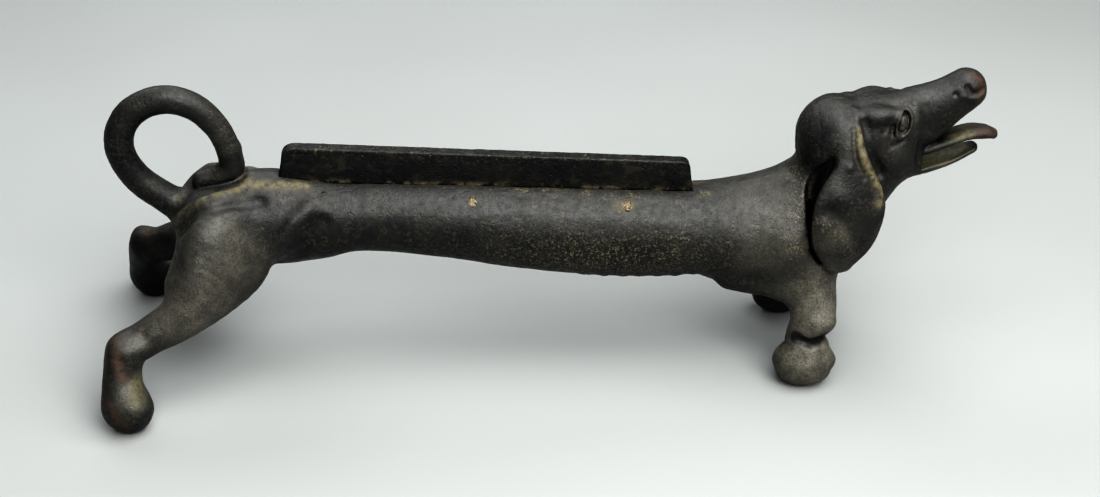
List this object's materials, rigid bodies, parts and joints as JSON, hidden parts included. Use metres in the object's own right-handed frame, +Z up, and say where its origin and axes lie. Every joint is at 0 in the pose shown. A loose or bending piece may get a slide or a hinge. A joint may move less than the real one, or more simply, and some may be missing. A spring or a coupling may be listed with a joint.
{
  "type": "dachshund boot scraper",
  "caption": "Long-bodied cast iron dachshund with a scraper blade along its back and a curled tail loop. It stands on four paws as a boot scraper or door stop.",
  "frame": {"origin": "on the floor under the middle of the overall box, on the vertical centre plane", "axes": "+X along the length towards the head, +Y to the dog's left, +Z up from the floor"},
  "size_m": [0.5384, 0.1752, 0.1954],
  "materials": {
    "painted_casting": "old black paint over rough cast iron, satin, with rust and dirt in the hollows",
    "blade_iron": "old black paint over rough cast iron, worn grey along the top edge",
    "rivet_iron": "peened flush, rusted through the paint"
  },
  "bodies": {
    "root": {"right_body_half": "painted_casting", "left_body_half": "painted_casting", "scraper_blade": "blade_iron", "rump_rivet": "rivet_iron", "chest_rivet": "rivet_iron", "neck_rivet": "rivet_iron", "blade_rivet_rear": "rivet_iron", "blade_rivet_middle": "rivet_iron", "blade_rivet_front": "rivet_iron"}
  },
  "joints": []
}
